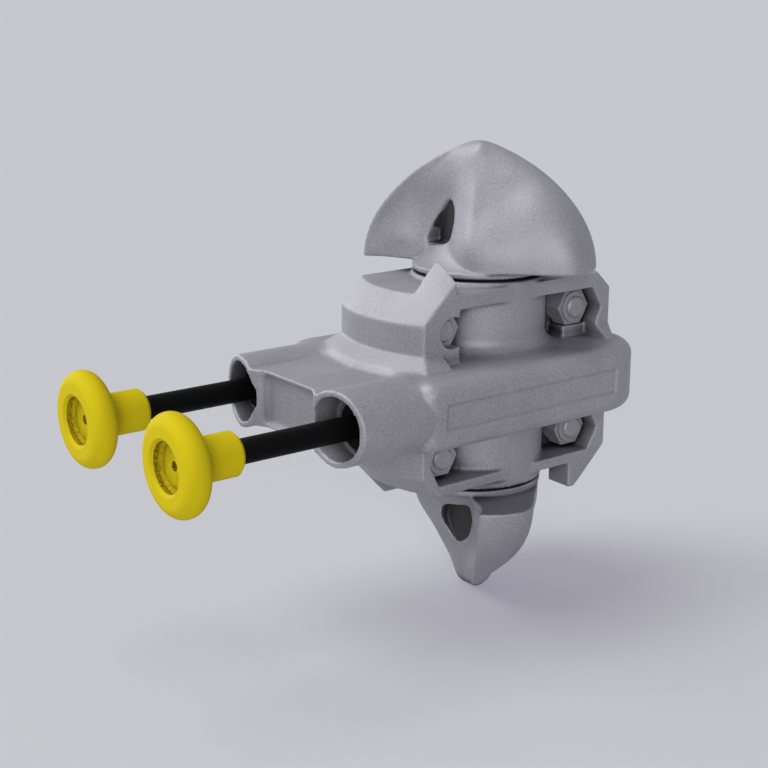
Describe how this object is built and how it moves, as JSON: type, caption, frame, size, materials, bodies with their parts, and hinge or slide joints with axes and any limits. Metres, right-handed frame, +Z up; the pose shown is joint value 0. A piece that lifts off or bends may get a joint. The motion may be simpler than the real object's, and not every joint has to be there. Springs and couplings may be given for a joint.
{
  "type": "container twistlock",
  "caption": "Container twistlock: a split cast housing with collars and flange, an upper and a lower cone on one spindle, and black pull wires with yellow knobs that turn the cones.",
  "frame": {"origin": "on the spindle's axis, in the plane of the flange's underside, which rests on the lower corner casting", "axes": "+Z up along the spindle, +X along the corner casting's slot and away from the pull wires, +Y to the rear"},
  "size_m": [0.242, 0.1136, 0.207],
  "materials": {
    "cast_steel": "grit-blasted cast steel, zinc grey, matt",
    "zinc_steel": "zinc-plated steel, satin",
    "black_plastic": "matt black plastic",
    "yellow_plastic": "matt yellow plastic",
    "bush_plastic": "black bearing plastic"
  },
  "bodies": {
    "housing": {"housing_front": "cast_steel", "housing_rear": "cast_steel", "housing_bolts": "zinc_steel", "housing_nuts": "zinc_steel", "housing_washers": "zinc_steel", "housing_dowels": "zinc_steel", "upper_bush": "bush_plastic", "lower_bush": "bush_plastic", "front_guide_bush": "bush_plastic", "rear_guide_bush": "bush_plastic"},
    "spindle": {"spindle_shaft": "zinc_steel", "upper_cone": "cast_steel", "lower_cone": "cast_steel", "upper_cone_pin": "zinc_steel", "lower_cone_pin": "zinc_steel", "wire_drum": "zinc_steel", "drum_key": "zinc_steel", "front_wire_nipple": "zinc_steel", "rear_wire_nipple": "zinc_steel", "return_spring": "zinc_steel"},
    "front_wire": {"front_wire_rope": "zinc_steel", "front_wire_sleeve": "black_plastic", "front_wire_ferrule": "zinc_steel", "front_knob": "yellow_plastic", "front_knob_screw": "zinc_steel"},
    "rear_wire": {"rear_wire_rope": "zinc_steel", "rear_wire_sleeve": "black_plastic", "rear_wire_ferrule": "zinc_steel", "rear_knob": "yellow_plastic", "rear_knob_screw": "zinc_steel"}
  },
  "joints": [
    {"name": "spindle_turn", "type": "hinge", "parent": "housing", "child": "spindle", "pos_m": [0, 0, 0], "axis": [0, 0, 1], "range_deg": [-46, 46], "stiffness_Nm_per_rad": 1.5, "deforming": ["return_spring"]},
    {"name": "front_wire_slide", "type": "slide", "parent": "housing", "child": "front_wire", "axis": [-1, 0, 0], "range_m": [-0.0294, 0.0294], "deforming": ["front_wire_rope"]},
    {"name": "rear_wire_slide", "type": "slide", "parent": "housing", "child": "rear_wire", "axis": [-1, 0, 0], "range_m": [-0.0294, 0.0294], "deforming": ["rear_wire_rope"]}
  ],
  "couplings": [
    {"joint": "front_wire_slide", "follows": "spindle_turn", "m_per_rad": -0.0365},
    {"joint": "rear_wire_slide", "follows": "spindle_turn", "m_per_rad": 0.0365}
  ]
}
